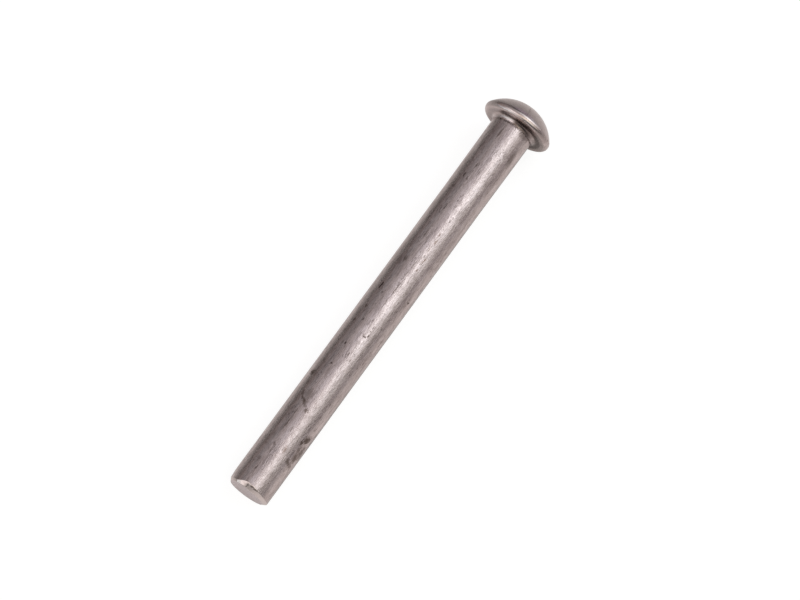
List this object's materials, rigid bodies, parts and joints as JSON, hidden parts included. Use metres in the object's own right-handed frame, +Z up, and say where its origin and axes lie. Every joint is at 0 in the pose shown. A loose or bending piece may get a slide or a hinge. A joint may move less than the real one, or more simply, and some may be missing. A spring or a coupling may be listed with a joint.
{
  "type": "solid rivet",
  "caption": "Long solid steel rivet with a round head, a fuller neck, a filleted bearing face and a chamfered free end, for fastening plates by upsetting its tail.",
  "frame": {"origin": "on the surface that the rivet lies on, under the middle of its length", "axes": "+X along the rivet towards the head, +Z up from the surface; the rivet's own axis rises about 2.0 degrees from the free end to the head"},
  "size_m": [0.0848, 0.0132, 0.0133],
  "materials": {
    "steel": "plain drawn steel, dull grey-brown, with fine lengthwise drawing lines, small pits and dark handling stains"
  },
  "bodies": {
    "root": {"rivet": "steel"}
  },
  "joints": []
}
